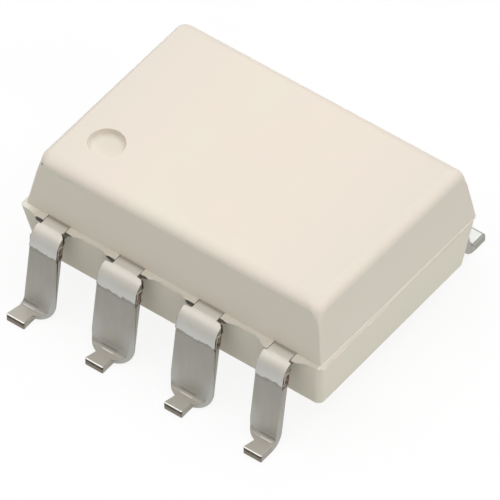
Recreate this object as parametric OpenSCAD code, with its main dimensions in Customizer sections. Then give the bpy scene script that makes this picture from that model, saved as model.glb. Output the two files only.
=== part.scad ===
// Eight-lead optocoupler for surface mounting: a light-emitting chip and a light-detecting chip
// under one clear silicone dome, on the inner ends of a stamped lead frame, moulded into a white body.
// The rows of leads run along X, lead 1 is at the front left (-X, -Y), and the feet stand on z = 0.

/* [Moulded body] */
// Length at the parting line, along the rows of leads
body_l = 9.66; // [9.3:0.02:11]
// Width at the parting line, across the rows
body_w = 6.68; // [6.3:0.02:7.6]
// Height of the half below the parting line
lower_h = 1.69; // [1.2:0.01:2.2]
// Height of the half above the parting line
upper_h = 1.83; // [1.75:0.01:2.4]
// Lean of the side walls in each half, in degrees
draft = 8.7; // [4:0.1:12]
// Step where the lower half stands out beyond the upper half
ledge = 0.08; // [0.03:0.01:0.12]
// Radius along the edges of the top face
top_r = 0.35; // [0.15:0.01:0.5]
// Radius along the edges of the underside
base_r = 0.2; // [0.1:0.01:0.4]
// Radius down the four corners of the upper half
upper_corner_r = 0.1; // [0.05:0.01:0.3]
// Radius down the four corners of the lower half
lower_corner_r = 0.14; // [0.05:0.01:0.3]

/* [Marks in the moulding] */
// Diameter of the shallow dimple beside lead 1, at its mouth
dimple_d = 1; // [0.96:0.01:1.4]
// Diameter of the flat floor of the dimple
dimple_floor_d = 0.94; // [0.5:0.01:0.95]
// Depth of the dimple
dimple_depth = 0.17; // [0.06:0.01:0.25]
// Middle of the dimple, inwards from the end of the body
dimple_from_end = 1.5; // [1.2:0.01:2]
// Middle of the dimple, inwards from the front of the body
dimple_from_front = 1.64; // [1.3:0.01:2.2]
// Diameter of the two ejector-pin marks in the underside
ejector_d = 1.5; // [0.8:0.05:2]
// Depth of the ejector-pin marks
ejector_depth = 0.04; // [0.02:0.01:0.1]
// Distance between the two ejector-pin marks
ejector_spacing = 5.2; // [3:0.1:6]

/* [Leads outside the body] */
// Distance from lead to lead along a row
pitch = 2.54; // [2.4:0.01:2.6]
// Thickness of the lead-frame sheet
lead_t = 0.25; // [0.15:0.01:0.3]
// Height of the underside of the body above the feet
standoff = 1; // [0.6:0.01:1.4]
// Width of the neck where a middle lead leaves the body
neck_w = 0.8; // [0.6:0.01:1]
// Width of the neck of a corner lead
corner_neck_w = 0.7; // [0.5:0.01:0.8]
// Length of the neck outside the body
neck_l = 0.205; // [0.1:0.005:0.3]
// Length of the neck inside the wall
neck_root = 0.45; // [0.3:0.05:0.6]
// Width of a middle lead below its shoulder
blade_w = 1.25; // [1.1:0.01:1.5]
// Radius of the lower corners of the wide part
blade_r = 0.5; // [0.3:0.01:0.55]
// Length of the wide part past the foot bend
blade_past = 0.05; // [0:0.01:0.1]
// Lean of the cut beside the foot from upright, in degrees
relief_lean = 24; // [15:1:40]
// Straight run from the body to the shoulder bend
run = 0.13; // [0.1:0.005:0.4]
// Inside radius of the shoulder bend
shoulder_r = 0.17; // [0.1:0.01:0.35]
// Outward lean of the standing part, in degrees
splay = 8.5; // [0:0.5:12]
// Width of the bar that tied the leads together until it was cut away
dam_bar_w = 0.4; // [0.2:0.01:0.5]
// Middle of that bar below the centre of the shoulder bend
dam_bar_drop = 0.07; // [0.05:0.01:0.2]
// How far its cut ends stand out from the edges of a lead
dam_bar_end = 0.03; // [0.02:0.01:0.08]
// How far the cut ends are rolled in from both faces of the sheet
dam_bar_roll = 0.04; // [0.03:0.01:0.06]
// Inside radius of the foot bend
foot_r = 0.2; // [0.1:0.01:0.3]
// Width of the foot
foot_w = 0.5; // [0.4:0.01:0.6]
// Flat length of the foot beyond its bend
foot_flat = 0.455; // [0.3:0.005:0.8]

/* [Lead frame inside the body] */
// Width of the arms inside the body
arm_w = 0.55; // [0.4:0.01:0.65]
// Outside diameter of the anchor eyes of the unused leads
eye_d = 1.1; // [0.9:0.05:1.4]
// Diameter of the hole in an anchor eye, which the resin locks through
eye_hole_d = 0.5; // [0.3:0.05:0.6]
// Middle of an anchor eye, inwards from the parting line
eye_in = 1.3; // [1:0.05:1.6]
// Side of the pad under the light-emitting chip
led_pad = 0.8; // [0.6:0.05:1]
// Middle of that pad in front of the centre line
led_y = 1.05; // [0.95:0.05:1.3]
// Length of the pad under the detector chip
detector_pad_l = 1.7; // [1.5:0.05:1.8]
// Width of the pad under the detector chip
detector_pad_w = 1.1; // [1:0.05:1.3]
// Middle of that pad behind the centre line
detector_y = 0.8; // [0.7:0.05:0.95]
// Gap between the detector pad and the end of the supply arm
pad_gap = 0.28; // [0.2:0.02:0.4]
// Row of wire landings on the output and enable arms, behind the centre line
landing_y = 1.75; // [1.65:0.05:2]
// Corner where the outer rear arms turn towards the pad, measured from the lead row
elbow_x = 1.2; // [1:0.05:1.4]
// The same corner, inwards from the parting line
elbow_in = 1.3; // [1:0.05:1.5]

/* [Chips and wires] */
// Side of the light-emitting chip
led_side = 0.3; // [0.2:0.01:0.4]
// Thickness of the light-emitting chip
led_h = 0.2; // [0.1:0.01:0.3]
// Length of the detector chip
detector_l = 1.2; // [0.9:0.05:1.4]
// Width of the detector chip
detector_w = 0.85; // [0.7:0.05:0.95]
// Thickness of the detector chip
detector_h = 0.25; // [0.15:0.01:0.35]
// Thickness of the die-attach layer under each chip
attach_t = 0.03; // [0.02:0.01:0.05]
// How far that layer shows around the chip
attach_rim = 0.05; // [0.02:0.01:0.08]
// Diameter of the bond wires
wire_d = 0.05; // [0.03:0.01:0.06]
// Angle at which a wire rises from its bonds, in degrees
wire_rise = 51; // [42:1:60]
// Diameter of the bonds at both ends of a wire
bond_d = 0.12; // [0.1:0.01:0.16]
// Thickness of those bonds
bond_t = 0.03; // [0.02:0.01:0.04]
// Middle of a bond, inwards from the edge of its chip
bond_in = 0.1; // [0.09:0.01:0.15]
// Landing of the ground wire, outwards from the edge of the detector chip
ground_landing = 0.5; // [0.4:0.05:0.7]

/* [Light guide] */
// Radius of the silicone dome on the lead frame
dome_r = 2.4; // [2.3:0.05:2.6]
// Height of the dome above the lead frame
dome_h = 1.3; // [1.1:0.05:1.4]
// Middle of the dome behind the centre line
dome_y = 0.2; // [0:0.05:0.3]

/* [Hidden] */

// More than 12 sides, so circles stay true circles
$fn = 64;
// Extra length of cutting shapes past the surfaces they cut
over = 0.5;

epoxy_colour = "#e9e1d4";
tin_colour = "#b9b8b4";
led_colour = "#7a2f28";
silicon_colour = "#4a5560";
attach_colour = "#9c9a94";
gold_colour = "#d8ac3c";
silicone_colour = [0.86, 0.91, 0.94, 0.4];

// The parting plane is also the upper face of the lead frame
plane_z = standoff + lower_h;
frame_z = plane_z - lead_t;
wall_y = body_w / 2;

// Side view of a lead, outward distance first: the centres of its two bends
shoulder_bend = [wall_y + run, frame_z - shoulder_r];
foot_bend_z = lead_t + foot_r;
foot_bend_out = (shoulder_r + lead_t + foot_r + (shoulder_bend[1] - foot_bend_z) * sin(splay)) / cos(splay);
foot_bend = [shoulder_bend[0] + foot_bend_out, foot_bend_z];

// Places on the lead frame
inner_x = pitch / 2;
outer_x = pitch * 3 / 2;
corner_shift = (blade_w - foot_w) / 4;
root_y = wall_y - neck_root;
led_at = [0, -led_y];
detector_at = [0, detector_y];
supply_end_x = detector_pad_l / 2 + pad_gap + arm_w / 2;
led_top = plane_z + attach_t + led_h;
detector_top = plane_z + attach_t + detector_h;
bond_x = detector_l / 2 - bond_in;
bond_y = detector_y + detector_w / 2 - bond_in;
ground_landing_x = detector_l / 2 + ground_landing;

// Outline of one half of the body in side view: a trapezium on y = 0 with rounded upper corners
module half_outline(base_half, h, r) {
    middle_y = h - r;
    middle_x = base_half - middle_y * tan(draft) - r / cos(draft);
    side = [middle_x + r * cos(draft), middle_y + r * sin(draft)];
    polygon([
        [-base_half, 0], [base_half, 0], side, [middle_x, h],
        [-middle_x, h], [-side[0], side[1]],
    ]);
    for (s = [-1, 1]) translate([s * middle_x, middle_y]) circle(r);
}

// What is taken off one leaning corner of a half, so that a round of radius r is left
module corner_relief(h, r) {
    lean = atan(sqrt(2) * tan(draft));
    face_turn = asin(cos(draft) / sqrt(2));
    middle = -r / cos(face_turn);
    reach = r + over / 2;
    rotate([0, -lean, 0]) translate([0, 0, -over]) linear_extrude(h + 2 * over) difference() {
        polygon([
            [middle, 0],
            [middle + reach * cos(face_turn), -reach * sin(face_turn)],
            [over, 0],
            [middle + reach * cos(face_turn), reach * sin(face_turn)],
        ]);
        translate([middle, 0]) circle(r);
    }
}

// One half of the body, standing on z = 0 with its walls leaning inwards as they rise
module drafted_half(l, w, h, r, corner_r) {
    difference() {
        intersection() {
            rotate([90, 0, 0]) linear_extrude(w, center = true) half_outline(l / 2, h, r);
            rotate([90, 0, 90]) linear_extrude(l, center = true) half_outline(w / 2, h, r);
        }
        for (sx = [0, 1], sy = [0, 1]) mirror([sx, 0, 0]) mirror([0, sy, 0])
            translate([l / 2, w / 2, 0]) rotate([0, 0, 45]) corner_relief(h, corner_r);
    }
}

// The half above the parting line, with the dimple by lead 1
module upper_half() {
    dimple_flare = over * (dimple_d - dimple_floor_d) / dimple_depth;
    difference() {
        translate([0, 0, plane_z])
            drafted_half(body_l - 2 * ledge, body_w - 2 * ledge, upper_h, top_r, upper_corner_r);
        translate([
            dimple_from_end - body_l / 2,
            dimple_from_front - wall_y,
            plane_z + upper_h - dimple_depth,
        ]) cylinder(h = dimple_depth + over, d1 = dimple_floor_d, d2 = dimple_d + dimple_flare);
    }
}

// The half below the parting line, with the two ejector-pin marks
module lower_half() {
    difference() {
        translate([0, 0, plane_z]) mirror([0, 0, 1])
            drafted_half(body_l, body_w, lower_h, base_r, lower_corner_r);
        for (s = [-1, 1]) translate([s * ejector_spacing / 2, 0, standoff - over])
            cylinder(h = over + ejector_depth, d = ejector_d);
    }
}

// Both halves as they were moulded together
module body_outside() {
    upper_half();
    lower_half();
}

// Area under one face of the bent sheet in side view, where shoulder and foot are that face's bend radii
module under_face(shoulder, foot) {
    lean = [cos(splay), sin(splay)];
    foot_z = foot_bend[1] - foot;
    tip = foot_bend[0] + foot_flat;
    difference() {
        union() {
            polygon([
                [root_y, -over], [root_y, shoulder_bend[1] + shoulder], shoulder_bend + [0, shoulder],
                shoulder_bend + shoulder * lean, foot_bend - foot * lean, foot_bend,
                [foot_bend[0], foot_z], [tip, foot_z], [tip, -over],
            ]);
            translate(shoulder_bend) circle(shoulder);
        }
        translate(foot_bend) circle(foot);
    }
}

// The bent sheet in side view, from the root of the neck to the tip of the foot
module lead_side_view() {
    difference() {
        under_face(shoulder_r + lead_t, foot_r);
        under_face(shoulder_r, foot_r + lead_t);
    }
}

// What is cut away beside the foot, drawn square to the sheet near the end of the foot bend: it leaves
// the narrow foot and the round lower corner of a wide part that reaches edge from the middle
module foot_relief(edge) {
    blade_end = (foot_r + lead_t / 2) * sin(relief_lean) + blade_past * cos(relief_lean);
    far = foot_flat + over;
    translate([0, -foot_bend[0], foot_bend[1]]) rotate([180 + relief_lean, 0, 0])
        linear_extrude(2 * far, center = true) difference() {
            translate([foot_w / 2, blade_end - blade_r]) square([edge, far + blade_r]);
            translate([edge - blade_r, blade_end - blade_r]) circle(blade_r);
            translate([0, blade_end - blade_r]) square([edge - blade_r, blade_r]);
        }
}

// What is left of the dam bar on both edges of a lead, square to the leaning sheet
module dam_bar_ends(left, right) {
    translate([left - dam_bar_end, -shoulder_bend[0], shoulder_bend[1]]) rotate([-splay, 0, 0])
        translate([0, dam_bar_roll - shoulder_r - lead_t, -dam_bar_drop - dam_bar_w / 2])
            cube([right - left + 2 * dam_bar_end, lead_t - 2 * dam_bar_roll, dam_bar_w]);
}

// The part of a lead outside the body, in the front row with its foot on x = 0:
// left and right are the edges of the wide part, and the neck is centred between them
module gull_wing(left, right, neck) {
    gap = (right - left - neck) / 2;
    difference() {
        translate([right, 0, 0]) rotate([90, 0, -90]) linear_extrude(right - left) lead_side_view();
        for (x = [left - over, right - gap]) translate([x, -wall_y - neck_l, frame_z - over])
            cube([gap + over, neck_l + neck_root + over, lead_t + 2 * over]);
        if (right > foot_w / 2) foot_relief(right);
        if (-left > foot_w / 2) mirror([1, 0, 0]) foot_relief(-left);
    }
    dam_bar_ends(left, right);
}

// A strip of the flat lead frame from point to point, with round ends
module arm(from, to) {
    along = to - from;
    translate(from) rotate(atan2(along[1], along[0])) translate([0, -arm_w / 2]) square([norm(along), arm_w]);
    for (p = [from, to]) translate(p) circle(d = arm_w);
}

// The flat part of a lead inside the body, drawn by the children
module flat_frame() {
    translate([0, 0, frame_z]) linear_extrude(lead_t) children();
}

// A lead in the second or third place of a row; side is -1 in front and 1 behind
module middle_lead(x, side) {
    translate([x, 0, 0]) rotate([0, 0, side < 0 ? 0 : 180]) gull_wing(-blade_w / 2, blade_w / 2, neck_w);
    flat_frame() children();
}

// A lead at the end of a row: its outer edge runs straight down into the foot
module corner_lead(x, side) {
    translate([x, 0, 0]) rotate([0, 0, side < 0 ? 0 : 180]) mirror([x * side < 0 ? 1 : 0, 0, 0])
        gull_wing(-foot_w / 2, blade_w / 2, corner_neck_w);
    flat_frame() children();
}

// Arm of an unused lead, ending in an eye that the resin fills and locks
module anchor(x) {
    neck_x = x - sign(x) * corner_shift;
    eye = [neck_x, eye_in - wall_y];
    difference() {
        union() {
            arm([neck_x, -root_y], eye);
            translate(eye) circle(d = eye_d);
        }
        translate(eye) circle(d = eye_hole_d);
    }
}

// Arm of an outer rear lead, turning at an elbow towards the detector pad
module elbow_arm(x, end) {
    neck_x = x - sign(x) * corner_shift;
    elbow = [neck_x, wall_y - elbow_in];
    turn = [x - sign(x) * elbow_x, detector_y];
    arm([neck_x, root_y], elbow);
    arm(elbow, turn);
    arm(turn, [end, detector_y]);
}

// A bond wire bowed in an arc from a bond on a chip to a bond on the lead frame
module bond_wire(from, from_z, to) {
    span = norm(to - from);
    fall = from_z - plane_z;
    chord = norm([span, fall]);
    arc_r = chord / 2 / sin(wire_rise);
    translate([from[0], from[1], 0]) rotate([0, 0, atan2(to[1] - from[1], to[0] - from[0])]) {
        translate([0, 0, from_z]) cylinder(h = bond_t, d = bond_d);
        translate([span, 0, plane_z]) cylinder(h = bond_t, d = bond_d);
        translate([span / 2, 0, plane_z + bond_t + fall / 2]) rotate([90, 0, 0]) rotate(-atan2(fall, span))
            translate([0, -arc_r * cos(wire_rise)]) rotate(90 - wire_rise)
                rotate_extrude(angle = 2 * wire_rise) translate([arc_r, 0]) circle(d = wire_d);
    }
}

// A chip-sized block standing on z
module block_on(at, l, w, z, h) {
    translate([at[0] - l / 2, at[1] - w / 2, z]) cube([l, w, h]);
}

// The silicone as poured: a cap of a ball above the lead frame and a disc that fills between its arms
module dome_outside() {
    ball = (pow(dome_r, 2) + pow(dome_h, 2)) / (2 * dome_h);
    translate([0, dome_y, plane_z]) intersection() {
        translate([0, 0, dome_h - ball]) sphere(ball);
        translate([0, 0, -lead_t]) cylinder(h = lead_t + dome_h + over, r = dome_r);
    }
}

module leads() {
    lead_1_unused();
    lead_2_anode();
    lead_3_cathode();
    lead_4_unused();
    lead_5_ground();
    lead_6_output();
    lead_7_enable();
    lead_8_supply();
}

module wires() {
    led_wire();
    ground_wire();
    output_wire();
    enable_wire();
    supply_wire();
}

module package_body() {
    color(epoxy_colour) difference() {
        body_outside();
        dome_outside();
        leads();
    }
}

module lead_1_unused() {
    color(tin_colour) corner_lead(-outer_x, -1) anchor(-outer_x);
}

module lead_2_anode() {
    color(tin_colour) middle_lead(-inner_x, -1)
        arm([-inner_x, -root_y], [-inner_x, -led_y]);
}

module lead_3_cathode() {
    color(tin_colour) middle_lead(inner_x, -1) {
        arm([inner_x, -root_y], [inner_x, -led_y]);
        arm([inner_x, -led_y], led_at);
        translate(led_at) square(led_pad, center = true);
    }
}

module lead_4_unused() {
    color(tin_colour) corner_lead(outer_x, -1) anchor(outer_x);
}

module lead_5_ground() {
    color(tin_colour) corner_lead(outer_x, 1) {
        elbow_arm(outer_x, 0);
        translate(detector_at) square([detector_pad_l, detector_pad_w], center = true);
    }
}

module lead_6_output() {
    color(tin_colour) middle_lead(inner_x, 1)
        arm([inner_x, root_y], [inner_x, landing_y]);
}

module lead_7_enable() {
    color(tin_colour) middle_lead(-inner_x, 1)
        arm([-inner_x, root_y], [-inner_x, landing_y]);
}

module lead_8_supply() {
    color(tin_colour) corner_lead(-outer_x, 1) elbow_arm(-outer_x, -supply_end_x);
}

module led_chip() {
    color(led_colour) block_on(led_at, led_side, led_side, plane_z + attach_t, led_h);
}

module led_die_attach() {
    side = led_side + 2 * attach_rim;
    color(attach_colour) block_on(led_at, side, side, plane_z, attach_t);
}

module led_wire() {
    color(gold_colour) bond_wire(led_at, led_top, [-inner_x, -led_y]);
}

module detector_chip() {
    color(silicon_colour) block_on(detector_at, detector_l, detector_w, plane_z + attach_t, detector_h);
}

module detector_die_attach() {
    color(attach_colour)
        block_on(detector_at, detector_l + 2 * attach_rim, detector_w + 2 * attach_rim, plane_z, attach_t);
}

module ground_wire() {
    color(gold_colour) bond_wire([bond_x, detector_y], detector_top, [ground_landing_x, detector_y]);
}

module output_wire() {
    color(gold_colour) bond_wire([bond_x, bond_y], detector_top, [inner_x, landing_y]);
}

module enable_wire() {
    color(gold_colour) bond_wire([-bond_x, bond_y], detector_top, [-inner_x, landing_y]);
}

module supply_wire() {
    color(gold_colour) bond_wire([-bond_x, detector_y], detector_top, [-supply_end_x, detector_y]);
}

module light_guide() {
    color(silicone_colour) difference() {
        dome_outside();
        leads();
        wires();
        led_chip();
        led_die_attach();
        detector_chip();
        detector_die_attach();
    }
}

package_body();
lead_1_unused();
lead_2_anode();
lead_3_cathode();
lead_4_unused();
lead_5_ground();
lead_6_output();
lead_7_enable();
lead_8_supply();
led_chip();
led_die_attach();
led_wire();
detector_chip();
detector_die_attach();
ground_wire();
output_wire();
enable_wire();
supply_wire();
light_guide();
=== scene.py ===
import math

import bpy
from mathutils import Matrix, Vector


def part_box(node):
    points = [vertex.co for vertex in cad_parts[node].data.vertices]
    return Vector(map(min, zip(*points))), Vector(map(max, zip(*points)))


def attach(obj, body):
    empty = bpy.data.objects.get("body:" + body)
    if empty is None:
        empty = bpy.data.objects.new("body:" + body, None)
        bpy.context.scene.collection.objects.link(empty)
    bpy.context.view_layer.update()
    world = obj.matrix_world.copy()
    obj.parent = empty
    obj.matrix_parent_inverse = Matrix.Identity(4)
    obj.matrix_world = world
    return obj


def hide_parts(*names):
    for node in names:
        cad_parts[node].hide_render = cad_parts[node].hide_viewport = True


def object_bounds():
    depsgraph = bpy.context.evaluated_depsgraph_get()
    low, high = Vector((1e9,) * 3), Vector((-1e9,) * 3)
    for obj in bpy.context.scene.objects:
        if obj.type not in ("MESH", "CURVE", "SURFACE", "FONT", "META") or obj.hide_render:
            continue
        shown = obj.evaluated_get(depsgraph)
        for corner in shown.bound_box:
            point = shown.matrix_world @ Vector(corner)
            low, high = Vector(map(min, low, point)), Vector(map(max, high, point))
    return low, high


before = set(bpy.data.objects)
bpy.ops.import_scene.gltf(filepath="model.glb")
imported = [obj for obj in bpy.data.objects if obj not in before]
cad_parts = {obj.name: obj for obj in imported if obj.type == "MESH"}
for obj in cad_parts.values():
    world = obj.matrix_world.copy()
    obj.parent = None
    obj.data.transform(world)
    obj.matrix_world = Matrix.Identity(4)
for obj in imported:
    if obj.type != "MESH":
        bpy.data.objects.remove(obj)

cad_low, cad_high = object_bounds()

# Lead frame: eight leads
# Strips stamped from one copper alloy sheet and tin plated. After moulding they are cut free of the
# dam bar that tied them, which leaves torn ends at their edges, and bent to gull wings with narrow feet.
mm = 0.001  # the frame is in metres, and the sizes here are in millimetres
pitch = 2.54
lead_tip = cad_high.y / mm
notch_at = 3.545
bend_out = 3.47
bend_height = 2.27
bend_inside = 0.17
lead_edge = 0.025
tip_corner = 0.035
shoulder_corner = 0.05
tip_spread = 0.08
dam_bar_end = 0.03
tear_cuts = 4
tear = 0.012
touch = 0.001  # places nearer than this count as one
edge_margin = 0.01
merge_reach = 0.0005
flat_angle = math.radians(0.5)
sharp_angle = math.radians(40)
smooth_angle = math.radians(35)
lead_names = sorted(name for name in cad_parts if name.startswith("lead_"))


def take_in_hand(piece):
    """Makes a piece the only selected object and the active one."""
    if bpy.context.object and bpy.context.object.mode != "OBJECT":
        bpy.ops.object.mode_set(mode="OBJECT")
    bpy.ops.object.select_all(action="DESELECT")
    piece.select_set(True)
    bpy.context.view_layer.objects.active = piece


def copy_of_node(node, name):
    """A copy of a CAD node in millimetres, its loose triangles merged and its flat faces made whole."""
    piece = bpy.data.objects.new(name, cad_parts[node].data.copy())
    bpy.context.scene.collection.objects.link(piece)
    take_in_hand(piece)
    piece.scale = (1 / mm,) * 3
    bpy.ops.object.transform_apply(location=False, rotation=False, scale=True)
    bpy.ops.object.mode_set(mode="EDIT")
    bpy.ops.mesh.select_all(action="SELECT")
    bpy.ops.mesh.customdata_custom_splitnormals_clear()
    bpy.ops.mesh.remove_doubles(threshold=merge_reach)
    bpy.ops.mesh.dissolve_limited(angle_limit=flat_angle)
    bpy.ops.object.mode_set(mode="OBJECT")
    return piece


def finish_modifier(piece, kind, **settings):
    """Adds a modifier to a piece, sets it and applies it."""
    take_in_hand(piece)
    modifier = piece.modifiers.new(kind.lower(), kind)
    for setting, value in settings.items():
        setattr(modifier, setting, value)
    bpy.ops.object.modifier_apply(modifier=modifier.name)


def select_edges(piece, wanted):
    """Selects the edges of the piece in hand whose two ends answer to wanted."""
    bpy.ops.mesh.select_mode(type="EDGE")
    bpy.ops.mesh.select_all(action="DESELECT")
    bpy.ops.object.mode_set(mode="OBJECT")
    points = piece.data.vertices
    for edge in piece.data.edges:
        edge.select = wanted(*(points[index].co for index in edge.vertices))
    bpy.ops.object.mode_set(mode="EDIT")


def select_points(piece, wanted):
    """Selects the points of the piece in hand that answer to wanted, with the faces between them."""
    bpy.ops.mesh.select_mode(type="VERT")
    bpy.ops.mesh.select_all(action="DESELECT")
    bpy.ops.object.mode_set(mode="OBJECT")
    for point in piece.data.vertices:
        point.select = wanted(point.co)
    bpy.ops.object.mode_set(mode="EDIT")


def bevel_edges(piece, wanted, reach, segments):
    """Rounds the edges of the piece in hand that answer to wanted, over a reach to either side."""
    select_edges(piece, wanted)
    bpy.ops.mesh.bevel(offset=reach, segments=segments, profile=0.5, affect="EDGES")


def upright_at(reach):
    """A test for upright edges that stand a given way out to the front or the back."""

    def wanted(first, second):
        upright = abs(first.x - second.x) < touch and abs(first.y - second.y) < touch
        return upright and abs(abs(first.y) - reach) < 2 * touch

    return wanted


def blade_edges(lead):
    """Left and right edge of a lead's blade, and of its neck where the notches end."""
    places = [point.co for point in lead.data.vertices]
    outside = [place.x for place in places if abs(place.y) > notch_at + edge_margin]
    low = min(outside) + dam_bar_end
    high = max(outside) - dam_bar_end
    notch = [place.x for place in places if abs(abs(place.y) - notch_at) < 2 * touch]
    inner = [x for x in notch if low + edge_margin < x < high - edge_margin]
    return low, high, min(inner), max(inner)


def past_edges(low, high, margin):
    """A test for the points that stand out past either edge of a lead's blade."""
    return lambda place: abs(place.y) > notch_at and not low - margin < place.x < high + margin


def soften_edges(lead, low, high):
    """Rounds every sharp edge of a lead but those of its torn dam bar ends."""
    bpy.ops.mesh.select_mode(type="EDGE")
    bpy.ops.mesh.select_all(action="DESELECT")
    bpy.ops.mesh.edges_select_sharp(sharpness=sharp_angle)
    bpy.ops.object.mode_set(mode="OBJECT")
    sharp = {edge.index for edge in lead.data.edges if edge.select}
    stands_out = past_edges(low, high, edge_margin)
    torn = {point.index for point in lead.data.vertices if stands_out(point.co)}
    root = {index for edge in lead.data.edges if torn & set(edge.vertices) for index in edge.vertices}
    bpy.ops.object.mode_set(mode="EDIT")
    bpy.ops.mesh.select_all(action="DESELECT")
    bpy.ops.object.mode_set(mode="OBJECT")
    for edge in lead.data.edges:
        edge.select = edge.index in sharp and not set(edge.vertices) <= root
    bpy.ops.object.mode_set(mode="EDIT")
    bpy.ops.mesh.bevel(offset=lead_edge, segments=3, profile=0.5, affect="EDGES")


def roughen(reach, seed):
    """Shifts each selected point at random, by up to about a given reach."""
    bpy.ops.transform.vertex_random(offset=reach, uniform=0.4, seed=seed)


def tear_ends(lead, low, high, seed):
    """Roughens the ends that the dam bar left on both edges of a lead."""
    select_points(lead, past_edges(low, high, 2 * edge_margin))
    bpy.ops.mesh.subdivide(number_cuts=tear_cuts)
    roughen(tear, seed)


def spread_tip(lead, middle):
    """Spreads the left edge of a front foot's cut tip, where the shears dragged the metal along."""
    select_points(lead, lambda place: place.y < 2 * tip_corner - lead_tip and place.x < middle)
    bpy.ops.transform.translate(value=(-tip_spread, 0, 0))


def bring_to_frame(piece, slot, *nodes):
    """Shades a piece made in millimetres, brings it to metres and hands it to the frame."""
    take_in_hand(piece)
    bpy.ops.object.shade_smooth_by_angle(angle=smooth_angle)
    finish_modifier(piece, "WEIGHTED_NORMAL", keep_sharp=True)
    piece.scale = (mm,) * 3
    bpy.ops.object.transform_apply(location=False, rotation=False, scale=True)
    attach(piece, "root")
    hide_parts(*nodes)


class Signal:
    """A value on its way through a finish's nodes; sums and products of signals add Math nodes."""

    def __init__(self, tree, socket):
        self.tree = tree
        self.socket = socket

    def node(self, kind, settings=None, inputs=None, output=0):
        """Adds a node, its settings first and then the numbers or signals of its sockets."""
        made = self.tree.nodes.new(kind)
        for name, value in (settings or {}).items():
            setattr(made, name, value)
        for name, value in (inputs or {}).items():
            if isinstance(value, Signal):
                self.tree.links.new(value.socket, made.inputs[name])
            else:
                made.inputs[name].default_value = value
        return Signal(self.tree, made.outputs[output])

    def math(self, operation, first, second):
        """Adds a Math node."""
        return self.node("ShaderNodeMath", {"operation": operation}, {0: first, 1: second})

    def __add__(self, other):
        return self.math("ADD", self, other)

    def __radd__(self, other):
        return self.math("ADD", other, self)

    def __sub__(self, other):
        return self.math("SUBTRACT", self, other)

    def __rsub__(self, other):
        return self.math("SUBTRACT", other, self)

    def __mul__(self, other):
        return self.math("MULTIPLY", self, other)

    def __rmul__(self, other):
        return self.math("MULTIPLY", other, self)

    def __abs__(self):
        return self.math("ABSOLUTE", self, 0.0)

    def part(self, axis):
        """One of the three parts of a vector."""
        return self.node("ShaderNodeSeparateXYZ", None, {0: self}, "XYZ".index(axis))

    def stretched(self, *factors):
        """A place with each of its parts multiplied, which draws a pattern out along an axis."""
        return self.node("ShaderNodeVectorMath", {"operation": "MULTIPLY"}, {0: self, 1: factors})

    def distance(self, point):
        """How far a place is from a point."""
        return self.node("ShaderNodeVectorMath", {"operation": "DISTANCE"}, {0: self, 1: point}, "Value")

    def rise(self, low, high):
        """A smooth step from 0 at low to 1 at high."""
        limits = {"Value": self, "From Min": low, "From Max": high}
        return self.node("ShaderNodeMapRange", {"interpolation_type": "SMOOTHSTEP"}, limits)

    def band(self, low, high, soft):
        """1 between low and high and 0 beyond them, over a soft border."""
        return self.rise(low - soft, low + soft) * (1 - self.rise(high - soft, high + soft))

    def blend(self, first, second):
        """From the first colour at 0 to the second at 1."""
        return self.node("ShaderNodeMix", {"data_type": "RGBA"}, {0: self, 6: first, 7: second}, 2)

    def noise(self, scale, detail, roughness=0.5):
        """Cloudy noise about 0.5 over a place; scale is in waves to the millimetre."""
        inputs = {"Vector": self, "Scale": scale, "Detail": detail, "Roughness": roughness}
        return self.node("ShaderNodeTexNoise", None, inputs)

    def bump(self, strength, deep):
        """A surface normal that follows the signal as a relief, deep in millimetres."""
        inputs = {"Height": self, "Strength": strength, "Distance": deep * mm}
        return self.node("ShaderNodeBump", None, inputs)


def tone(red, green, blue):
    """A colour as the eye reads it, 0 to 255 a channel, as linear light."""
    steps = (value / 255 for value in (red, green, blue))
    return tuple(s / 12.92 if s <= 0.04045 else ((s + 0.055) / 1.055) ** 2.4 for s in steps) + (1.0,)


def begin_finish(name):
    """A new material, the place on the piece in millimetres, and the way its surface faces."""
    material = bpy.data.materials.new(name)
    material.use_nodes = True
    tree = material.node_tree
    coordinates = tree.nodes.new("ShaderNodeTexCoord")
    metres = Signal(tree, coordinates.outputs["Object"])
    scaled = {"Vector": metres, "Scale": 1 / mm}
    place = metres.node("ShaderNodeVectorMath", {"operation": "SCALE"}, scaled)
    facing = Signal(tree, coordinates.outputs["Normal"])
    return material, place, facing


def surface(material, **inputs):
    """Sets the sockets of a material's surface by name, written with _ for a space."""
    shader = material.node_tree.nodes["Principled BSDF"]
    for name, value in inputs.items():
        socket = shader.inputs[name.replace("_", " ")]
        if isinstance(value, Signal):
            material.node_tree.links.new(value.socket, socket)
        else:
            socket.default_value = value


# Where the plating and its painted light and shade change on a lead: heights above the board, ways out
# from the part's middle, ways across from the lead's own middle and ways in from its tip. A pair is where
# a change begins and ends.
greyer_heights = (0.3, 2.2)
corner_highlight_across = (0.2, 0.6)
corner_highlight_top = 1.4
border_shadow_heights = (2.02, 2.09)
cap_from = (2.08, 2.12)
cap_heights = (2.15, 2.6)
wall_reflection_out = (3.22, 3.38)
wall_shadow_line_out = (3.24, 3.26)
bent_from = (1.96, 2.0)
bend_shade_wide = (0.03, 0.09)
torn_heights = (1.98, 2.4)
slit_shadow_across = (0.51, 0.54)
slit_shadow_out = (3.5, 3.52)
slit_shadow_from = (2.3, 2.4)
inward_shade_from = (1.9, 2.1)
low_until = (0.5, 0.6)
hollow_shade_out = (4.14, 4.24)
foot_out = (4.33, 4.37)
foot_until = (0.3, 0.4)
foot_line_across = (0.17, 0.19)
foot_line_in = (0.07, 0.05)
foot_reflection_out = (4.195, 4.225)
foot_reflection_across = (0.2, 0.3)
gleam_out = (4.275, 4.305)
gleam_across = (0.15, 0.2)
tip_in = (0.03, 0.02)
tip_shade_heights = (0.1, 0.2)
tip_highlight_from = (0.222, 0.232)


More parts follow.
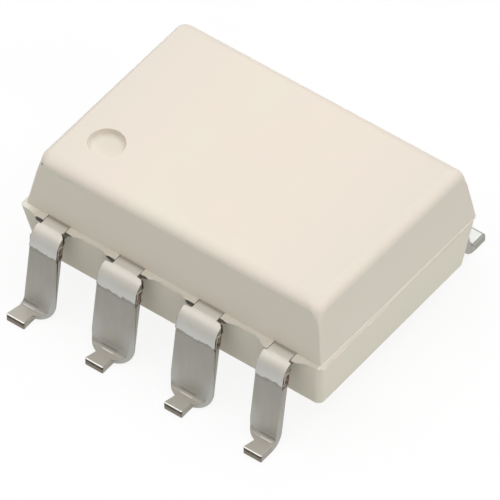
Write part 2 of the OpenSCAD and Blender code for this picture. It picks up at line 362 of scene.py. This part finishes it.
def tin_plate():
    """Satin tin: bright over the bend, greyer on the blade, stained at the cuts, pale at the feet, with
    painted highlights, reflections and shade.
    """
    material, place, facing = begin_finish("tin_plate")
    height = place.part("Z")
    out = abs(place.part("Y"))
    # The middles of the leads lie at odd halves of the pitch.
    across = place.math("FRACT", place.part("X") * (1 / pitch), 0.0) * pitch - pitch / 2
    side = facing.part("X")
    cut_face = abs(side).rise(0.5, 0.85)
    inward = (0 - facing.part("Y") * place.part("Y")).rise(1.5, 3.0)
    cloud = place.noise(3.0, 3.0)
    streak = place.stretched(7.0, 7.0, 0.8).noise(1.0, 3.0, 0.6) - 0.5
    ragged = (place.noise(7.0, 5.0, 0.7) - 0.5) * 0.28

    # The blade is lighter low down and greyer higher up, streaked along its length.
    greyer_up = (height + streak * 1.4).rise(*greyer_heights)
    plated = greyer_up.blend(tone(181, 177, 168), tone(165, 161, 152))
    # The blade's lower corners are painted paler: a painted highlight where they curve up into the bend.
    corner_highlight = abs(across).rise(*corner_highlight_across) * (corner_highlight_top - height).rise(0.0, 0.9)
    plated = (corner_highlight * 0.7).blend(plated, tone(196, 195, 191))
    border = height + ragged
    # A darker line is painted just under the cap's ragged border: a painted shadow line.
    plated = (border.band(*border_shadow_heights, 0.02) * 0.5).blend(plated, tone(140, 136, 129))
    # From the ragged border up over the bend the tin is painted brighter: partly a real change of plating,
    # partly a painted reflection of the overhead light.
    cap = border.rise(*cap_from)
    bright = (height + (cloud - 0.5) * 0.2).rise(*cap_heights)
    bright = bright.blend(tone(214, 212, 208), tone(196, 191, 182))
    plated = cap.blend(plated, bright)
    # Next to the body the neck is painted a brownish tone, darkest at the wall: a painted reflection of
    # the wall, with painted shadow where it meets it.
    wall_reflection_shade = 1 - out.rise(*wall_reflection_out)
    plated = wall_reflection_shade.blend(plated, tone(166, 157, 144))
    # A thin dark line is painted where the neck meets the wall: a painted shadow line.
    wall_shadow_line = (out + ragged * 0.1).band(*wall_shadow_line_out, 0.008)
    plated = (wall_shadow_line * 0.6).blend(plated, tone(84, 76, 66))

    # Faces turned to the left are painted darker: painted shade on the side away from the right lamp.
    left_shade = (0 - side).rise(0.35, 0.8)
    plated = left_shade.blend(plated, tone(118, 115, 109))
    stain = place.noise(9.0, 4.0, 0.7)
    bent = side.rise(0.5, 0.85) * height.rise(*bent_from)
    plated = bent.blend(plated, tone(150, 142, 124))
    # A dark line is painted on the right side face along the inside of the bend: painted shade.
    from_bend = (out - bend_out) * (out - bend_out) + (height - bend_height) * (height - bend_height)
    from_bend = from_bend.math("POWER", from_bend, 0.5) + ragged * 0.3
    bend_shade_line = bent * (1 - from_bend.rise(*(bend_inside + wide for wide in bend_shade_wide)))
    plated = bend_shade_line.blend(plated, tone(52, 42, 28))
    torn = cut_face * height.band(*torn_heights, 0.04)
    plated = (torn * stain.rise(0.4, 0.5)).blend(plated, tone(128, 96, 82))
    plated = (torn * stain.rise(0.47, 0.55)).blend(plated, tone(66, 32, 26))
    # Near-black is painted on the shoulder beside the neck: painted shadow of the slit between shoulder
    # and body.
    slit_shadow = (across - (out - notch_at) + ragged * 0.15).rise(*slit_shadow_across)
    slit_shadow = slit_shadow * out.rise(*slit_shadow_out) * height.rise(*slit_shadow_from)
    plated = slit_shadow.blend(plated, tone(30, 21, 8))
    # Faces turned towards the body are painted dark high up: painted shade between lead and body.
    inward_shade = inward * height.rise(*inward_shade_from)
    plated = inward_shade.blend(plated, tone(70, 60, 50))

    low = 1 - height.rise(*low_until)
    # The hollow of the bend into the foot is painted darker: painted shade.
    hollow_shade = out.rise(*hollow_shade_out) * low * facing.part("Z").rise(0.1, 0.5)
    plated = hollow_shade.blend(plated, tone(146, 142, 133))
    foot = out.rise(*foot_out) * (1 - height.rise(*foot_until))
    plated = foot.blend(plated, tone(170, 165, 155))
    # The tops of the back row's feet are painted nearly white, a painted highlight, with a darker line
    # painted round their edges.
    behind = foot * place.part("Y").rise(0.0, 1.0) * facing.part("Z").rise(0.6, 0.9)
    plated = behind.blend(plated, tone(212, 213, 209))
    within = 1 - abs(across).rise(*foot_line_across)
    foot_line = 1 - within * (1 - out.rise(*(lead_tip - way for way in foot_line_in)))
    plated = (behind * foot_line).blend(plated, tone(138, 138, 135))
    # A thin dark arc is painted above the foot's bend: a painted reflection of the foot in the curving
    # blade.
    foot_reflection_line = out.band(*foot_reflection_out, 0.012) * (1 - abs(across).rise(*foot_reflection_across)) * low
    plated = (foot_reflection_line * 0.55).blend(plated, tone(96, 92, 86))
    gleam = out.band(*gleam_out, 0.01) * (1 - abs(across).rise(*gleam_across)) * low
    plated = gleam.blend(plated, tone(178, 174, 165))
    tip = out.rise(*(lead_tip - way for way in tip_in))
    shade = (height + ragged * 0.4).rise(*tip_shade_heights)
    plated = tip.blend(plated, shade.blend(tone(140, 128, 113), tone(52, 43, 37)))
    # A near-white line is painted along the top edge of the cut tip: a painted highlight.
    rim = tip * height.rise(*tip_highlight_from)
    plated = rim.blend(plated, tone(244, 242, 236))

    satin = 0.42 + cloud * 0.1 + cap * 0.06
    relief = (place.noise(14.0, 3.0) + streak * 0.5).bump(0.2, 0.004)
    surface(material, Base_Color=plated, Metallic=0.4, Roughness=satin, Normal=relief)
    return material


tin = tin_plate()
necks = []
for seed, lead_name in enumerate(lead_names):
    lead = copy_of_node(lead_name, "tinned_" + lead_name)
    left, right, neck_left, neck_right = blade_edges(lead)
    row = math.copysign(1, lead.data.vertices[0].co.y)  # -1 in front, 1 behind
    in_front_row = row < 0
    has_shoulder = neck_left - left > 3 * shoulder_corner
    necks.append((row, neck_left, neck_right))
    bpy.ops.object.mode_set(mode="EDIT")
    bevel_edges(lead, upright_at(lead_tip), tip_corner, segments=4)
    if has_shoulder:
        bevel_edges(lead, upright_at(notch_at), shoulder_corner, segments=3)
    soften_edges(lead, left, right)
    tear_ends(lead, left, right, seed)
    if in_front_row:
        spread_tip(lead, (left + right) / 2)
    bpy.ops.object.mode_set(mode="OBJECT")
    lead.data.materials.clear()
    lead.data.materials.append(tin)
    bring_to_frame(lead, "tin_plate", lead_name)

# Chips, wires and light guide
# Fixed to the flat ends of the leads before moulding: the light emitting crystal and the detector in
# their silver paste, the gold bonding wires, and the dome of clear silicone that carries the light across.


def inner_finish(name, dark, light, metallic, roughness):
    """A finish for a sealed piece, clouded between two tones."""
    material, place = begin_finish(name)[:2]
    cloud = place.noise(4.0, 3.0)
    uneven = cloud.bump(0.2, 0.01)
    surface(
        material,
        Base_Color=cloud.blend(dark, light),
        Metallic=metallic,
        Roughness=roughness + cloud * 0.1,
        Normal=uneven,
    )
    return material


inner_finishes = {
    "led_chip": inner_finish("led_crystal", tone(120, 40, 30), tone(150, 60, 40), 0.0, 0.15),
    "detector_chip": inner_finish("silicon", tone(60, 62, 70), tone(84, 86, 96), 0.3, 0.15),
    "die_attach": inner_finish("silver_paste", tone(150, 150, 148), tone(180, 180, 176), 0.6, 0.45),
    "wire": inner_finish("gold_wire", tone(212, 160, 60), tone(232, 184, 90), 1.0, 0.2),
    "light_guide": inner_finish("clear_silicone", tone(226, 226, 222), tone(238, 238, 234), 0.0, 0.1),
}
for name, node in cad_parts.items():
    for ending, finish in inner_finishes.items():
        if name.endswith(ending):
            node.data.materials.clear()
            node.data.materials.append(finish)

# Moulded body
# White epoxy moulded round the lead frame in two drafted half moulds that meet at the leads. The upper
# half stands a little out of line, so the ledge is widest in front, and resin crept out beside the leads.
body_low, body_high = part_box("package_body")
body_long = (body_high.x - body_low.x) / mm
body_wide = (body_high.y - body_low.y) / mm
body_bottom = body_low.z / mm
body_top = body_high.z / mm
parting = 2.69
draft = math.radians(8.7)
ledge = 0.08
slip = Vector((0.04, 0.06))
left_lean = 0.055
foot_shift = Vector((0.06, 0.0))
rim_inset = 0.006
rim_drop = 0.045
web_drop = 0.1
crown_drop = 0.005
corner = 0.14
# Corners go by their signs along x and y, so (1, -1) is the right front one.
foot_corners = {(1, -1): 0.2}
lip_corners = {(-1, -1): 0.1}
right_corners = {(1, -1): 0.04, (1, 1): 0.05}
upper_corners = {(-1, -1): 0.08, **right_corners}
corner_shifts = {(1, -1): Vector((-0.05, 0, 0)), (1, 1): Vector((0.02, 0.05, 0))}
top_corners = {(-1, -1): 0.45, (1, -1): 0.55, (1, 1): 0.25, (-1, 1): 0.36}
shoulder_drop = 0.64
top_round = 0.35
left_top_round = 0.13
front_top_round = 0.55
end_top_round = 0.48
widest_round = 0.6
corner_pushes = {(1, 1): 0.08, (-1, -1): 0.12}
push_drop = 0.15
push_reach = 0.66
push_step = 0.06
push_steps = 8
bottom_round = 0.08
rim_round = 0.014
rim_cuts = 79
rim_waver = 0.006
rim_seed = 11
end_waver = 0.011
end_seed = 5
end_margin = 0.03
# How far back along the right end the rim sags, and how far down.
end_sag = ((1.5, 0.02), (-0.5, 0.025), (-1.8, 0.025))
straight_least = 1
creep_from = 3
# How far the resin reaches beside a neck, and how far it is pushed out there.
left_creep = ((0.52, 0.02), (0.44, 0.03), (0.36, 0.04), (0.28, 0.04), (0.2, 0.04))
right_creep = ((0.42, 0.02), (0.34, 0.03), (0.27, 0.045), (0.2, 0.05))
under_neck = 0.2
slot_gap = 0.01
dimple_centre = Vector((-3.315, -1.70)) + slip
dimple_rim = 0.5
dimple_floor = 0.495
dimple_deep = 0.19
dimple_lean = Vector((0.02, 0.015))
dimple_rim_round = 0.015
dimple_floor_round = 0.02
cutter_over = 0.2
ejector_apart = 5.2
ejector_radius = 0.75
ejector_deep = 0.04
dome_centre = Vector((0, 0.2))
dome_radius = 2.4
dome_high = 1.3
sheet_thick = 0.25


def lower_ring(drop):
    """Length and width of the lower half a given way below the parting line."""
    taper = 2 * drop * math.tan(draft)
    return body_long - taper, body_wide - taper


def raise_ring(now, then):
    """Extrudes the face in hand to the next ring; a ring is its height, length, width and shift."""
    bpy.ops.mesh.extrude_region_move(TRANSFORM_OT_translate={"value": (0, 0, then[0] - now[0])})
    middle = (*now[3], 0)
    bpy.ops.transform.resize(value=(then[1] / now[1], then[2] / now[2], 1), center_override=middle)
    bpy.ops.transform.translate(value=(*(then[3] - now[3]), 0))


def sharp_corner(ring, along, across):
    """Where the sides of a ring would meet if it had no rounded corner."""
    height, length, width, shift = ring
    return Vector((along * length / 2, across * width / 2, height)) + shift.to_3d()


def select_corner(piece, ring, along, across):
    """Selects one corner arc of a ring."""
    sharp = sharp_corner(ring, along, across)

    def on_arc(place):
        return abs(place.z - ring[0]) < touch and (place - sharp).length < 3 * corner

    select_points(piece, on_arc)


def round_corner(piece, ring, along, across, share):
    """Scales a corner arc of a ring about its sharp corner, which changes its radius alone."""
    select_corner(piece, ring, along, across)
    bpy.ops.transform.resize(value=(share, share, 1), center_override=sharp_corner(ring, along, across))


def level_at(*heights):
    """A test for edges that lie level at one of some heights."""

    def wanted(first, second):
        return any(abs(first.z - z) < touch and abs(second.z - z) < touch for z in heights)

    return wanted


def upper_ring(rise):
    """The ring of the upper half a given way above the parting line; its left end leans in more."""
    taper = 2 * ledge + 2 * rise * math.tan(draft)
    lean = left_lean * rise
    return parting + rise, body_long - taper - lean, body_wide - taper, slip + Vector((lean / 2, 0))


base_ring = upper_ring(0)
shoulder_ring = upper_ring(body_top - parting - shoulder_drop)
top_ring = upper_ring(body_top - parting)
rim_size = tuple(size - 2 * rim_inset for size in lower_ring(rim_drop))
crown_size = tuple((rim + upper) / 2 for rim, upper in zip(rim_size, base_ring[1:3]))
foot_ring = (body_bottom, *lower_ring(parting - body_bottom), foot_shift)
web_ring = (parting - web_drop, *lower_ring(web_drop), Vector((0, 0)))
rim_ring = (parting - rim_drop, *rim_size, Vector((0, 0)))
crown_ring = (parting - crown_drop, *crown_size, slip / 2)

bpy.ops.object.select_all(action="DESELECT")
bpy.ops.mesh.primitive_plane_add(size=1, location=(*foot_shift, body_bottom))
body = bpy.context.object
body.name = "moulded_body"
body.scale = (foot_ring[1], foot_ring[2], 1)
bpy.ops.object.transform_apply(location=True, rotation=False, scale=True)
bpy.ops.object.mode_set(mode="EDIT")
bpy.ops.mesh.select_all(action="SELECT")
bpy.ops.mesh.bevel(offset=corner, affect="VERTICES", segments=6, profile=0.5)
bpy.ops.mesh.select_all(action="SELECT")
rings = [foot_ring, web_ring, rim_ring, crown_ring, base_ring, shoulder_ring, top_ring]
for now, then in zip(rings, rings[1:]):
    raise_ring(now, then)
ring_corners = [
    (foot_ring, foot_corners),
    (web_ring, foot_corners),
    (rim_ring, lip_corners),
    (crown_ring, {**lip_corners, **right_corners}),
    (base_ring, upper_corners),
    (shoulder_ring, upper_corners),
    (top_ring, top_corners),
]
for ring, corners in ring_corners:
    for (along, across), radius in corners.items():
        round_corner(body, ring, along, across, radius / corner)
for ring in (crown_ring, base_ring, shoulder_ring):
    for (along, across), shift in corner_shifts.items():
        select_corner(body, ring, along, across)
        bpy.ops.transform.translate(value=shift)
bpy.ops.mesh.select_all(action="SELECT")
bpy.ops.mesh.normals_make_consistent(inside=False)
# A round between a level face and a drafted wall reaches its radius / half_corner along both.
half_corner = math.tan((math.pi / 2 + draft) / 2)
bevel_edges(body, level_at(body_bottom), bottom_round / half_corner, segments=5)
bpy.ops.object.mode_set(mode="OBJECT")


def top_round_towards(facing):
    """Radius of the top edge by the way it faces: softest in front and sharpest on the left."""
    front = max(0, -facing.y) * (front_top_round - top_round)
    right = max(0, facing.x) * (end_top_round - top_round)
    left = max(0, -facing.x) * (left_top_round - top_round)
    return top_round + front + right + left


weights = body.data.attributes.new("bevel_weight_edge", "FLOAT", "EDGE")
on_top = level_at(body_top)
for edge in body.data.edges:
    first, second = (body.data.vertices[index].co for index in edge.vertices)
    if on_top(first, second):
        run = second.xy - first.xy
        facing = Vector((run.y, -run.x)).normalized()
        if facing.dot((first.xy + second.xy) / 2) < 0:
            facing = -facing
        weights.data[edge.index].value = top_round_towards(facing) / widest_round
finish_modifier(body, "BEVEL", width=widest_round / half_corner, segments=12, limit_method="WEIGHT")
bpy.ops.object.mode_set(mode="EDIT")
for (along, across), push in corner_pushes.items():
    outward = Vector((along, across, 0)).normalized()
    sharp = sharp_corner(top_ring, along, across) - Vector((0, 0, push_drop))
    for step in range(push_steps):
        select_points(body, lambda place: (place - sharp).length < push_reach - push_step * step)
        bpy.ops.transform.translate(value=outward * push / push_steps)

on_rings = level_at(web_ring[0], rim_ring[0], crown_ring[0], base_ring[0])
select_edges(
    body,
    lambda first, second: on_rings(first, second) and (first - second).length > straight_least,
)
bpy.ops.mesh.subdivide(number_cuts=rim_cuts)


def creep_out(side, low, high, push):
    """Draws the rim and the crown of a long side out over a stretch beside a neck."""

    def crept(place):
        level = min(abs(place.z - rim_ring[0]), abs(place.z - crown_ring[0])) < touch
        return level and place.y * side > creep_from and low < place.x < high

    select_points(body, crept)
    bpy.ops.transform.translate(value=(0, side * push, 0))


for side, neck_left, neck_right in necks:
    for reach, push in left_creep:
        creep_out(side, neck_left - reach, neck_left + under_neck, push)
    for reach, push in right_creep:
        creep_out(side, neck_right - under_neck, neck_right + reach, push)
select_points(body, lambda place: abs(place.z - rim_ring[0]) < touch)
roughen(rim_waver, rim_seed)


def along_rim(first, second):
    """True for an edge that runs along the wavering rim."""
    middle = (first + second) / 2
    level = abs(first.z - second.z) < 3 * rim_waver
    return level and abs(middle.z - rim_ring[0]) < 2 * rim_waver


def on_end_rim(place, lowest):
    """True for a point of the rim at the right end that lies above a given height."""
    return place.x > rim_size[0] / 2 - end_margin and lowest < place.z < rim_ring[0] + 2 * edge_margin


bevel_edges(body, along_rim, rim_round, segments=2)
for limit, sag in end_sag:
    select_points(body, lambda place: place.y < limit and on_end_rim(place, web_ring[0] + edge_margin))
    bpy.ops.transform.translate(value=(0, 0, -sag))
select_points(body, lambda place: on_end_rim(place, web_ring[0] - 5 * edge_margin))
roughen(end_waver, end_seed)
bpy.ops.object.mode_set(mode="OBJECT")


def cut_with(piece, cutter):
    """Cuts a piece with another, which is then removed."""
    finish_modifier(piece, "BOOLEAN", operation="DIFFERENCE", object=cutter, solver="EXACT")
    bpy.data.objects.remove(cutter)


for lead_name in lead_names:
    cutter = copy_of_node(lead_name, "slot")
    bpy.ops.object.mode_set(mode="EDIT")
    bpy.ops.mesh.select_all(action="SELECT")
    bpy.ops.transform.shrink_fatten(value=slot_gap, use_even_offset=True)
    bpy.ops.object.mode_set(mode="OBJECT")
    cut_with(body, cutter)

ball = (dome_radius**2 + dome_high**2) / (2 * dome_high)
bpy.ops.object.select_all(action="DESELECT")
bpy.ops.mesh.primitive_uv_sphere_add(
    segments=96, ring_count=96, radius=ball, location=(*dome_centre, parting + dome_high - ball)
)
dome = bpy.context.object
bpy.ops.object.transform_apply(location=True, rotation=False, scale=False)
bpy.ops.object.mode_set(mode="EDIT")
bpy.ops.mesh.select_all(action="SELECT")
bpy.ops.mesh.bisect(plane_co=(0, 0, parting), plane_no=(0, 0, 1), clear_inner=True, use_fill=True)
bpy.ops.mesh.extrude_region_move(TRANSFORM_OT_translate={"value": (0, 0, -sheet_thick)})
bpy.ops.mesh.select_all(action="SELECT")
bpy.ops.mesh.normals_make_consistent(inside=False)
bpy.ops.object.mode_set(mode="OBJECT")
cut_with(body, dome)

flare = (dimple_rim - dimple_floor) / dimple_deep
bpy.ops.mesh.primitive_cone_add(
    vertices=96,
    radius1=dimple_floor,
    radius2=dimple_rim + flare * cutter_over,
    depth=dimple_deep + cutter_over,
    location=(*dimple_centre, body_top + (cutter_over - dimple_deep) / 2),
)
cut_with(body, bpy.context.object)
for along in (-ejector_apart / 2, ejector_apart / 2):
    bpy.ops.mesh.primitive_cylinder_add(
        vertices=64,
        radius=ejector_radius,
        depth=2 * ejector_deep,
        location=(along, 0, body_bottom),
    )
    cut_with(body, bpy.context.object)


def dimple_ring(radius, height):
    """A test for the edges of one ring of the dimple."""
    centre = Vector((*dimple_centre, height))

    def wanted(first, second):
        ends = (first - centre, second - centre)
        return all(abs(end.length - radius) < 5 * touch and abs(end.z) < 2 * touch for end in ends)

    return wanted


dimple_point = Vector((*dimple_centre, body_top))
dimple_base = Vector((*dimple_centre, body_top - dimple_deep))


def low_in_dimple(place):
    """True for the points of the dimple's floor and of the foot of its wall."""
    inside = (place - dimple_base).length < dimple_rim + 2 * edge_margin
    return inside and place.z < body_top - dimple_deep / 2


take_in_hand(body)
bpy.ops.object.mode_set(mode="EDIT")
bevel_edges(body, dimple_ring(dimple_rim, dimple_point.z), dimple_rim_round, segments=4)
bevel_edges(body, dimple_ring(dimple_floor, dimple_base.z), dimple_floor_round, segments=4)
select_points(body, low_in_dimple)
bpy.ops.transform.translate(value=(*dimple_lean, 0))
bpy.ops.object.mode_set(mode="OBJECT")

# Where the epoxy's colour and its painted light and shade change: heights above the board and ways along
# or out from the middle.
end_along = (1.5, 4.6)
lower_until = (2.6, 2.64)
ledge_heights = (2.6, 2.72)
lip_along = (4.2, 4.7)
end_ledge_along = (4.7, 4.74)
gap_shadow_out = (3.4, 3.42)
gap_shadow_along = (-4.22, 2.1)
dimple_heights = (body_top - 0.3, body_top - 0.04)
dimple_border = (dimple_rim + 0.02, dimple_rim + 0.06)
near_right = Vector((0.6, -0.8))
front_wall_out = (2.9, 3.0)
speck_point = (-4.3, -3.01, 4.24)
speck_reach = 0.05
streak_heights = (4.145, 4.165)
streak_along = (-3.75, -3.3)


def white_epoxy():
    """Matt cream-white compound, clouded, with painted shade on the ledge and in the dimple, a lower half
    painted lighter, and painted shadow by the leads.
    """
    material, place, facing = begin_finish("white_epoxy")
    height = place.part("Z")
    along = place.part("X")
    out = abs(place.part("Y"))
    up = facing.part("Z")
    warm = place.noise(0.45, 3.0)
    cool = place.noise(1.3, 2.0)
    cream = warm.rise(0.3, 0.7).blend(tone(241, 228, 215), tone(239, 230, 214))
    cream = (cool.rise(0.55, 0.75) * 0.5).blend(cream, tone(238, 228, 216))
    cream = (abs(along).rise(*end_along) * up.rise(0.8, 0.98)).blend(cream, tone(235, 225, 213))
    # The lower half is painted lighter: painted light, standing in for more light on its walls below the
    # ledge.
    lower = 1 - height.rise(*lower_until)
    cream = lower.blend(cream, warm.blend(tone(247, 235, 219), tone(245, 237, 219)))
    on_ledge = height.band(*ledge_heights, 0.02) * up.rise(0.3, 0.7)
    lip = (0 - along).rise(*lip_along)
    shaded = lip.blend(tone(205, 198, 184), tone(240, 236, 222))
    shaded = along.rise(*end_ledge_along).blend(shaded, tone(244, 240, 228))
    cream = on_ledge.blend(cream, shaded)
    # Near-black is painted on the crept resin beside the necks: painted shadow in the narrow gaps between
    # resin and leads.
    gap_shadow = (out + (place.noise(6.0, 3.0) - 0.5) * 0.04).rise(*gap_shadow_out)
    cream = (gap_shadow * along.band(*gap_shadow_along, 0.04)).blend(cream, tone(26, 17, 4))
    # In the dimple light and shade are painted: its far wall darker, its side walls lighter, and its floor
    # darker towards the far side.
    in_dimple = height.band(*dimple_heights, 0.02)
    in_dimple = in_dimple * (1 - place.distance(dimple_point).rise(*dimple_border))
    wall = 1 - up.rise(0.5, 0.9)
    shady = (facing.part("X") * near_right.x + facing.part("Y") * near_right.y).rise(0.1, 0.9)
    dimple_wall_shade = shady.blend(tone(255, 249, 239), tone(238, 230, 219))
    rightward = along - dimple_centre.x
    backward = place.part("Y") - dimple_centre.y
    nearer = (rightward * near_right.x + backward * near_right.y).rise(-0.5, 0.5)
    dimple_floor_shade = nearer.blend(tone(220, 213, 201), tone(231, 222, 209))
    cream = in_dimple.blend(cream, wall.blend(dimple_floor_shade, dimple_wall_shade))
    speck = 1 - place.distance(speck_point).rise(speck_reach / 2, speck_reach)
    cream = speck.blend(cream, tone(150, 144, 131))
    in_front = (0 - place.part("Y")).rise(*front_wall_out)
    wavy = height + (place.noise(2.0, 2.0) - 0.5) * 0.12
    streak = in_front * along.band(*streak_along, 0.1) * wavy.band(*streak_heights, 0.02)
    cream = (streak * 0.5).blend(cream, tone(196, 184, 166))
    grain = place.noise(30.0, 3.0)
    surface(
        material,
        Base_Color=cream,
        Roughness=0.5 + cool * 0.12,
        Normal=(grain + cool * 0.5).bump(0.15, 0.004),
    )
    return material


body.data.materials.append(white_epoxy())
bring_to_frame(body, "white_epoxy", "package_body")

# Floor, light and camera
# A white sweep under a wide soft light overhead and a weaker one low on the right; a long lens looks
# down from the front right, as in a catalogue picture.
floor_reach = 3.0  # in metres, as lamp_away is
floor_bounce = (0.40, 0.43, 0.42, 1)
floor_lit = (0.27, 0.29, 0.285, 1)
floor_shadow = 0.14
floor_glow = 0.875
sky_level = 0.037
lamps = {"overhead": (Vector((0, 0, 1)), 0.861), "right_fill": (Vector((1, 0, 0.15)), 0.232)}
lamp_spread = math.radians(90)
lamp_away = 0.2
bpy.ops.object.select_all(action="DESELECT")
bpy.ops.mesh.primitive_plane_add(size=floor_reach, location=(0, 0, 0))
floor = bpy.context.object
floor.name = "floor"


def seen_directly(tree):
    """1 for what the camera sees straight, mirrored or through something clear, and 0 for light."""
    path = tree.nodes.new("ShaderNodeLightPath")
    rays = ("Is Camera Ray", "Is Glossy Ray", "Is Transmission Ray")
    straight, mirrored, through = (Signal(tree, path.outputs[ray]) for ray in rays)
    return straight.math("MAXIMUM", straight.math("MAXIMUM", straight, mirrored), through)


floor_paper, place = begin_finish("floor_paper")[:2]
tree = floor_paper.node_tree
shown = seen_directly(tree)
fibre = place.noise(0.3, 4.0).blend((0.97, 0.97, 0.97, 1), (1, 1, 1, 1))
bounce = shown.node("ShaderNodeBsdfDiffuse", None, {"Color": floor_bounce})
table = shown.node("ShaderNodeEmission", None, {"Color": floor_lit, "Strength": 1.0})
under = shown.node("ShaderNodeAddShader", None, {0: bounce, 1: table})
paper = shown.node("ShaderNodeBsdfDiffuse", None, {"Color": (floor_shadow,) * 3 + (1,)})
glow = shown.node("ShaderNodeEmission", None, {"Color": fibre, "Strength": floor_glow})
bright = shown.node("ShaderNodeAddShader", None, {0: paper, 1: glow})
mixed = shown.node("ShaderNodeMixShader", None, {0: shown, 1: under, 2: bright})
tree.links.new(mixed.socket, tree.nodes["Material Output"].inputs["Surface"])
floor.data.materials.append(floor_paper)

world = bpy.data.worlds.new("studio")
bpy.context.scene.world = world
world.use_nodes = True
tree = world.node_tree
level = seen_directly(tree) * (1 - sky_level) + sky_level
tree.links.new(level.socket, tree.nodes["Background"].inputs["Strength"])
tree.nodes["Background"].inputs["Color"].default_value = (1, 1, 1, 1)

for lamp_name, (towards, strength) in lamps.items():
    bpy.ops.object.light_add(type="SUN", location=towards * lamp_away)
    lamp = bpy.context.object
    lamp.name = lamp_name
    lamp.data.energy = strength * math.pi
    lamp.data.angle = lamp_spread
    lamp.rotation_mode = "QUATERNION"
    lamp.rotation_quaternion = towards.to_track_quat("Z", "Y")

azimuth = math.radians(37.026)
elevation = math.radians(47.537)
roll = math.radians(-0.0612)
camera_away = 401.108
focal_pixels = 15624.89
frame_pixels = 500
aim = Vector((0.08, 0.075, 2.0))
aim_side = -0.0497
aim_up = -0.5663
back = Vector(
    (
        math.sin(azimuth) * math.cos(elevation),
        -math.cos(azimuth) * math.cos(elevation),
        math.sin(elevation),
    )
)
level_right = Vector((math.cos(azimuth), math.sin(azimuth), 0))
level_up = back.cross(level_right)
right = math.cos(roll) * level_right + math.sin(roll) * level_up
up = math.cos(roll) * level_up - math.sin(roll) * level_right
stand = aim + aim_side * right + aim_up * up + camera_away * back
camera_data = bpy.data.cameras.new("camera")
camera = bpy.data.objects.new("camera", camera_data)
bpy.context.scene.collection.objects.link(camera)
camera_data.sensor_width = 36
camera_data.lens = focal_pixels / frame_pixels * camera_data.sensor_width
camera_data.clip_start = 0.01
camera_data.clip_end = 10
turn = Matrix((right, up, back)).transposed().to_4x4()
camera.matrix_world = Matrix.Translation(stand * mm) @ turn
bpy.context.scene.camera = camera
bpy.context.scene.view_settings.view_transform = "Standard"
